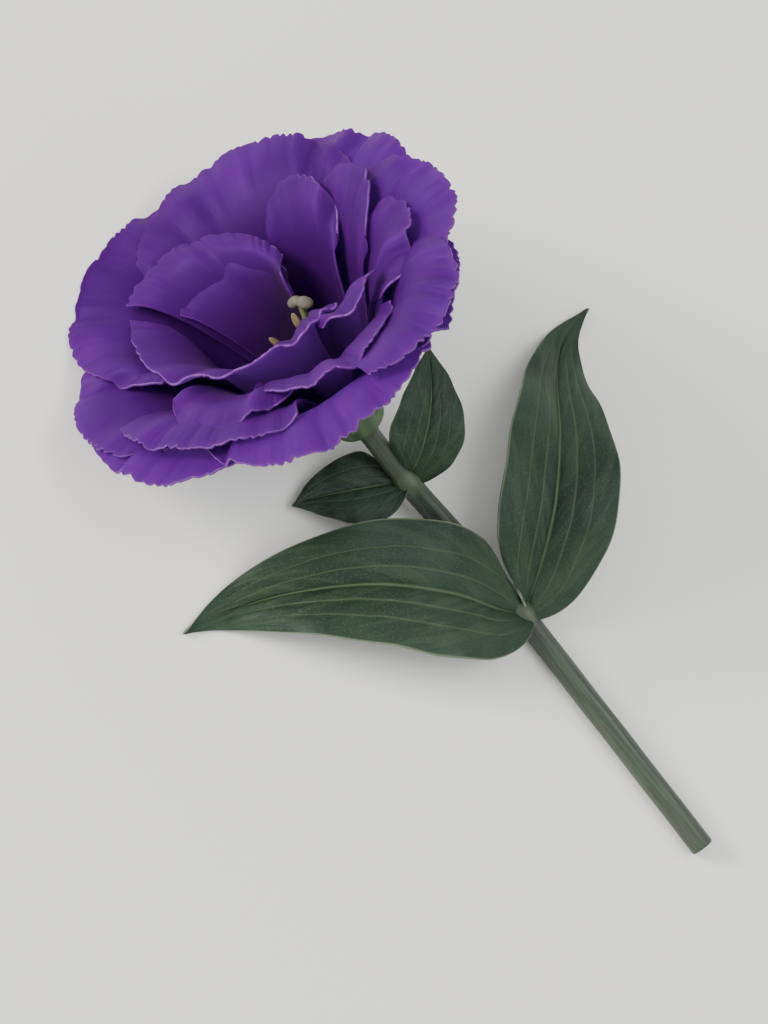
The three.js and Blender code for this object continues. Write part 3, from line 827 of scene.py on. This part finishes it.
def makeStem():
    s = stemShape
    length = stemLengths[-1]

    def skinAt(u, v):
        # From the middle of the disc under the petals, down the skin, to the middle of the cut
        disc = np.clip(u / s["discShare"], 0, 1)
        cut = np.clip((1 - u) / s["cutShare"], 0, 1)
        distance = np.clip((u - s["discShare"]) / (1 - s["discShare"] - s["cutShare"]), 0, 1) * length
        centre, across, up = stemFrame(distance - s["cutDepth"] * smooth(cut, 0.85, 0.4))
        turn = v * math.pi
        ribs = s["ribHeight"] * np.cos(s["ribs"] * turn + 0.4 * np.sin(distance / 9))
        uneven = s["unevenness"] * np.sin(distance / 2.3 + 3 * turn)
        radius = (stemRadius(distance) * (1 + ribs + uneven) * disc * cut)[:, None]
        outwards = across * np.cos(turn)[:, None] + up * np.sin(turn)[:, None]
        # Over the cut, along is 0 in the middle and 1 at the rim
        return centre + radius * outwards, np.where(cut < 1, cut, u)

    stem = addSheet("stem", s["columns"], s["rows"], skinAt, [stemMaterial(), cutMaterial()], closed=True)
    end = Vector(stemLine[-1] * mm)
    endWay = Vector(stemLine[-1] - stemLine[-2]).normalized()
    for face in stem.data.polygons:
        onCut = (face.center - end).length < 1.2 * s["radius"] * mm and face.normal.dot(endWay) > 0.6
        face.material_index = 1 if onCut else 0
    # The tone of the skin is its nearness to a node
    points = pointsOf(stem) / mm
    nearness = np.zeros(len(points))
    for node in stemNodes:
        centre, _, _ = stemFrame(node)
        away = np.linalg.norm(points - centre, axis=1) - s["radius"]
        nearness += np.exp(-((away / s["nodeBlush"]) ** 2))
    stem.data.attributes["tone"].data.foreach_set("value", nearness.astype(np.float32))
    finishPiece(stem, "stem")


makeStem()


# Leaves and bracts
leafShape = {
    "taper": 1.15,
    "sag": 0.22,
    "wave": 0.04,
    "waveRate": 9,
    "frill": 0.35,
    "frillRate": 30,
    "rootHalfWidth": 0.3,
    "claspAngle": 38,
    "claspLength": 0.05,
    # depth and width of the grooves along the midrib and the two side nerves
    "grooves": ((0.30, 0.05), (0.14, 0.045), (0.10, 0.04)),
    "fullHalf": 11,  # half width of a leaf whose grooves and frills have their full depth
    "floorSoftness": 1.0,
    "sideSoftness": 1.2,
    "wall": 0.45,
}
# line: how far out, how far sideways and how high the midrib runs
leaves = {
    "leaf_left": {
        "node": stemShape["leafNodeAt"],
        "heading": 212,
        "line": ((6, 0, 5), (16, -1, 9.5), (30, -2, 9.5), (44, -1, 4.2), (53, 1.5, 0.2), (60, 5, 0.9)),
        "half": 11.5,
        "fold": 20,
        "widest": 0.34,
        "grid": (40, 84),
    },
    "leaf_right": {
        "node": stemShape["leafNodeAt"],
        "heading": 108,
        "line": ((6, 0, 5.5), (16, 1, 10.5), (29, 1.5, 9.5), (41, 1, 4), (50, -1, 0.2), (56, -4, 1.2)),
        "half": 11,
        "fold": 22,
        "widest": 0.34,
        "grid": (40, 84),
    },
    "bract_upper": {
        "node": stemShape["bractNodeAt"],
        "heading": 118,
        "line": ((3, 0, 11), (8, 0, 14.5), (14, 0, 15.5), (20, 0, 14.5)),
        "half": 6.5,
        "fold": 16,
        "widest": 0.38,
        "grid": (32, 40),
    },
    "bract_lower": {
        "node": stemShape["bractNodeAt"],
        "heading": 222,
        "line": ((4, 0, 5.2), (9, 0, 4.2), (14, 0, 2.6), (19, 0.5, 1.6)),
        "half": 6,
        "fold": 16,
        "widest": 0.38,
        "grid": (32, 40),
    },
}


def makeLeaf(name, leaf, finishes, order):
    s = leafShape
    start, stemSide, _ = stemFrame(leaf["node"])
    start, stemSide = start[0], stemSide[0]
    heading = math.radians(leaf["heading"])
    forward = np.array([math.cos(heading), math.sin(heading), 0])
    sideways = np.array([-forward[1], forward[0], 0])
    ownSide = stemSide * np.sign(stemSide @ forward)
    corners = [start]
    for out, side, height in leaf["line"]:
        corners.append(start * (1, 1, 0) + out * forward + side * sideways + height * upwards)
    spine = smoothLine(corners, 401, steps=60, evenness=0.5)
    even = np.linspace(0, 1, len(spine))
    widest = leaf["widest"]
    swellPower = s["taper"] * widest / (1 - widest)
    half = leaf["half"]

    def outline(u):
        return (u + 0.015) ** swellPower * np.clip(1 - u, 0, 1) ** s["taper"]

    def reliefAt(u, v):
        # Grooves along the nerves, and a faint frill of the margin
        side = np.abs(v)
        groove = 0
        for nerve, (depth, width) in zip((0, *nerveSides), s["grooves"]):
            groove = groove - depth * np.exp(-(((side - nerve) / width) ** 2))
        groove = groove * smooth(u, 0.01, 0.12) * smooth(u, 1.0, 0.8)
        frill = s["frill"] * side**3 * np.sin(s["frillRate"] * u + 1.7 * order + np.sign(v))
        frill = frill * smooth(u, 0.05, 0.3) * smooth(u, 1, 0.75)
        return (groove + frill) * half / s["fullHalf"]

    def pointsAt(u, v):
        centre, across, up = frameAlong(u, even, spine, 0.01)
        foot = s["rootHalfWidth"] * (1 - 0.85 * smooth(u, 0.8, 1))
        reach = v * (half * outline(u) / outline(widest) + foot)
        angle = np.radians(leaf["fold"] + s["claspAngle"] * np.exp(-u / s["claspLength"]))
        sag = s["sag"] * np.abs(v) * np.abs(reach)
        rise = np.abs(reach) * np.sin(angle) - sag + reliefAt(u, v)
        point = centre + across * (reach * np.cos(angle))[:, None] + up * rise[:, None]
        point[:, 2] += s["wave"] * half * np.sin(s["waveRate"] * u + 2 * np.sign(v)) * np.abs(v)
        point[:, 2] = squeeze(point[:, 2], s["floorSoftness"])
        # The leaf stays on its own side of the stem
        distance = (point - start) @ ownSide
        point = point + np.outer(squeeze(distance, s["sideSoftness"]) - distance, ownSide)
        return point, u

    columns, rows = leaf["grid"]
    tone = 0.3 + 0.1 * order
    blade = addSheet(name, columns, rows, pointsAt, finishes, wall=s["wall"], rounding=1, tone=tone)
    finishPiece(blade, name)


def makeLeaves():
    finishes = [leafMaterial("leafUnder", False), leafMaterial("leafUpper", True), leafEdgeMaterial()]
    for order, (name, leaf) in enumerate(leaves.items()):
        makeLeaf(name, leaf, finishes, order)


makeLeaves()


# Calyx
calyxShape = {
    "inner": 4.0,
    "outer": 4.6,
    "height": 3.4,
    # how far the wall stands out from the outer radius, and its height, all round its section
    "wallLine": (
        (-0.95, -1.75), (-0.5, -1.85), (-0.05, -1.1), (0.2, 0.6), (0.32, 2.4),
        (0.2, 3.3), (-0.2, 3.35), (-0.3, 1.2), (-0.5, -0.6), (-0.95, -1.75),
    ),
    "sepals": 5,
    "firstAngle": 12,
    "footFlare": 1.2,
    "footFlareLength": 0.07,
    "halfWidth": 1.35,
    "tipHalfWidth": 0.2,
    "keel": 0.6,
    "wall": 0.45,
    "shares": (0.12, 0.25, 0.38, 0.5, 0.62),  # of the petal that the sepals run along
    "clearance": 1.075,  # millimetres off that petal
    "tipLift": 1.1,  # and how many more at its margin
}


def sepalSpine():
    # Up the cup's wall, then along the back of the outer petal that reaches furthest out
    c = calyxShape
    _, reach, rise, _, lean, *_ = petalRows["petals_outer"][2]
    wallMiddle = 0.5 * (c["inner"] + c["outer"]) + 0.2
    corners = [(wallMiddle, 0.2 * c["height"]), (wallMiddle, 0.7 * c["height"])]
    for share in c["shares"]:
        point, direction = petalProfile(np.array([reach], float), rise, lean, np.array([share]))
        offset = c["clearance"] + c["tipLift"] * share
        corners.append((point[0, 0] + direction[0, 1] * offset, point[0, 1] - direction[0, 0] * offset))
    return smoothLine(corners, 201)


def makeCalyx():
    c = calyxShape
    skin = sepalMaterial()
    wall = smoothLine([(c["outer"] + out, height) for out, height in c["wallLine"]], 80)
    made = [addTurned("calyx", 60, 79, wall, skin, along=0.2, tone=0.5)]
    spine = sepalSpine()
    even = np.linspace(0, 1, len(spine))
    for k in range(c["sepals"]):
        angle = math.radians(c["firstAngle"] + 360 / c["sepals"] * k)

        def pointsAt(u, v):
            radius, height = pickAt(u, even, spine).T
            foot = c["footFlare"] * np.exp(-u / c["footFlareLength"])
            half = c["halfWidth"] * (1 - u) ** 0.7 + c["tipHalfWidth"] + foot
            turn = angle + v * half / radius
            radius = radius + c["keel"] * (1 - np.abs(v)) ** 1.3 * (1 - u)
            return fromBloom(aboutAxis(radius, 0 * radius, height, turn)), u

        made.append(addSheet("sepal", 10, 40, pointsAt, [skin], wall=c["wall"], rounding=1, tone=0.1 * k))
    finishPiece(joinPieces(made, "calyx"), "calyx")


makeCalyx()


# Stamens and pistil
heartShape = {
    "stamens": 5,
    "firstAngle": -20,
    "filamentLine": ((2.15, 0.8), (2.4, 5.5), (3.0, 12), (4.0, 18.5)),
    "filamentRadius": 0.27,
    "filamentTaper": 0.35,
    "antherHalf": (0.42, 0.5, 1.55),
    "antherTilt": 25,
    "antherLift": 0.8,
    "antherPinch": 0.55,
    "ring": ((1.9, 0.3), (2.4, 0.3), (2.4, 1.3), (1.9, 1.3), (1.9, 0.3)),
    "ovary": (
        (0, 0.3), (1.6, 0.3), (1.6, 1.6), (1.85, 4.2), (1.9, 6.5),
        (1.75, 8.5), (1.0, 11.2), (0.3, 12.2), (0, 12.3),
    ),
    "styleFoot": 10.5,
    "styleRadius": 0.62,
    "styleSwell": 0.25,
    "stigma": (2.0, 2.9, 25),  # in the bloom's own frame
    "lobeSize": (1.5, 1.1, 0.85),
    "lobeSpread": 1.0,
    "lobeTilt": 18,
}
heartLook = {
    "filament": (0.22, 0.22, 0.16),
    "filamentShade": (0.16, 0.13, 0.18),
    "anther": (0.150, 0.105, 0.048),
    "pollen": (0.215, 0.160, 0.080),
    "ovary": (0.11, 0.15, 0.045),
    "style": (0.17, 0.20, 0.085),
    "stigma": (0.085, 0.075, 0.055),
    "stigmaGrain": (0.125, 0.108, 0.080),
}


def heartMaterial(name, base, second, roughness, grainScale):
    finish = Finish(name)
    place = finish.place()
    clouds = finish.noise(place, grainScale * 0.3, 2.0, 0.5)
    grain = finish.noise(place, grainScale, 3.0, 0.7)
    colour = finish.blend(clouds.between(0.35, 0.65), heartLook[base], heartLook[second])
    colour = finish.blend(grain.between(0.5, 0.75) * 0.5, colour, heartLook[second])
    return finish.surface(colour, roughness, finish.bump(grain, 0.8, 0.2 * mm))


def ballPoints(size, u, v, pinch=0.0):
    # An ellipsoid with these half sizes, pinched in at two of its sides
    rise = (u - 0.5) * math.pi
    turn = v * math.pi
    around = np.cos(rise) * (1 - 0.5 * pinch * np.cos(2 * turn))
    return np.stack([np.cos(turn) * around, np.sin(turn) * around, np.sin(rise)], axis=1) * size


def leanBy(points, degrees, angle):
    # Leans out by the degrees, then turns about the bloom's axis
    lean = math.radians(degrees)
    x = points[:, 0] * math.cos(lean) + points[:, 2] * math.sin(lean)
    z = -points[:, 0] * math.sin(lean) + points[:, 2] * math.cos(lean)
    return aboutAxis(x, points[:, 1], z, angle)


def closedEnds(u):
    # 0 at the two ends, where a rod comes to a point, and 1 between them
    return np.where((u <= 0) | (u >= 1), 0.0, 1.0)


def makeStamens():
    h = heartShape
    pale = heartMaterial("filamentSkin", "filament", "filamentShade", 0.5, 1500)
    dusty = heartMaterial("antherSkin", "anther", "pollen", 0.8, 3200)
    made = [addTurned("stamens", 40, 16, h["ring"], pale)]
    line = smoothLine(h["filamentLine"], 101)
    even = np.linspace(0, 1, len(line))
    tipRadius, tipHeight = line[-1]
    for k in range(h["stamens"]):
        angle = math.radians(h["firstAngle"] + 360 / h["stamens"] * k)

        def filamentAt(u, v):
            radius, height = pickAt(u, even, line).T
            thick = h["filamentRadius"] * (1 - h["filamentTaper"] * u) * closedEnds(u)
            turn = v * math.pi
            x = radius + thick * np.cos(turn)
            return fromBloom(aboutAxis(x, thick * np.sin(turn), height, angle)), u

        def antherAt(u, v):
            ball = leanBy(ballPoints(h["antherHalf"], u, v, h["antherPinch"]), h["antherTilt"], angle)
            centre = (tipRadius * math.cos(angle), tipRadius * math.sin(angle), tipHeight + h["antherLift"])
            return fromBloom(ball + centre), u

        made.append(addSheet("filament", 12, 30, filamentAt, [pale], closed=True))
        made.append(addSheet("anther", 20, 20, antherAt, [dusty], closed=True))
    finishPiece(joinPieces(made, "stamens"), "stamens")


def makePistil():
    h = heartShape
    skin = heartMaterial("ovarySkin", "ovary", "style", 0.45, 900)
    velvet = heartMaterial("stigmaSkin", "stigma", "stigmaGrain", 0.75, 3600)
    top = np.array(h["stigma"], float)

    def styleAt(u, v):
        thick = h["styleRadius"] * (1 + h["styleSwell"] * (1 - u) ** 3) * closedEnds(u)
        turn = v * math.pi
        away = 0.5 * smooth(u, 0, 1) + 0.5 * u
        x = top[0] * away + thick * np.cos(turn)
        y = top[1] * away + thick * np.sin(turn)
        height = h["styleFoot"] + u * (top[2] - h["styleFoot"])
        return fromBloom(np.stack([x, y, height], axis=1)), u

    made = [
        addTurned("pistil", 32, 60, h["ovary"], skin),
        addSheet("style", 16, 40, styleAt, [skin], closed=True),
    ]
    for side in (-1, 1):

        def lobeAt(u, v):
            ball = leanBy(ballPoints(h["lobeSize"], u, v), side * h["lobeTilt"], 0.0)
            return fromBloom(ball + top + (side * h["lobeSpread"], 0, 0)), u

        made.append(addSheet("lobe", 28, 20, lobeAt, [velvet], closed=True))
    finishPiece(joinPieces(made, "pistil"), "pistil")


makeStamens()
makePistil()


# Floor and light
stageLook = {
    "floorColour": (0.94, 0.915, 0.86),
    "floorLighter": 1.03,
    "floorSize": 6.0,
    "worldColour": (0.96, 0.98, 1.0),
    "worldStrength": 0.94,
    "lightsAimAt": (-0.03, 0, 0.02),
}
# way: how far to the camera's right, up and back the light stands; distances and sizes in metres
lights = {
    "key": {
        "way": (-0.85, 0.42, 0.9),
        "distance": 1.3,
        "size": 0.6,
        "power": 24,
        "colour": (1.0, 0.98, 0.95),
    },
    "fill": {
        "way": (0.9, 0.2, 0.9),
        "distance": 1.5,
        "size": 1.2,
        "power": 8,
        "colour": (0.92, 0.95, 1.0),
    },
}


def makeFloor():
    finish = Finish("floor")
    clouds = finish.noise(finish.place(), 3, 2.0, 0.5)
    floorColour = stageLook["floorColour"]
    lighter = tuple(stageLook["floorLighter"] * part for part in floorColour)
    colour = finish.blend(clouds, floorColour, lighter)
    freeSelection()
    bpy.ops.mesh.primitive_plane_add(size=stageLook["floorSize"])
    floor = bpy.context.object
    floor.name = "floor"
    floor.data.materials.append(finish.surface(colour, 0.9, Specular_IOR_Level=0.2))


def addLight(name, light):
    # A soft round panel that faces the flower
    right = Vector(cameraSettings["right"])
    up = Vector(cameraSettings["up"])
    toRight, toUp, toBack = light["way"]
    direction = (toRight * right + toUp * up + toBack * right.cross(up)).normalized()
    lamp = bpy.data.lights.new(name, "AREA")
    lamp.shape = "DISK"
    lamp.size = light["size"]
    lamp.energy = light["power"]
    lamp.color = light["colour"]
    body = bpy.data.objects.new(name, lamp)
    bpy.context.scene.collection.objects.link(body)
    body.location = direction * light["distance"] + Vector(stageLook["lightsAimAt"])
    body.rotation_euler = direction.to_track_quat("Z", "Y").to_euler()


def makeLight():
    world = bpy.data.worlds.new("studio")
    world.use_nodes = True
    sky = world.node_tree.nodes["Background"]
    sky.inputs["Color"].default_value = (*stageLook["worldColour"], 1)
    sky.inputs["Strength"].default_value = stageLook["worldStrength"]
    bpy.context.scene.world = world
    for name, light in lights.items():
        addLight(name, light)


makeFloor()
makeLight()
print("stage set")
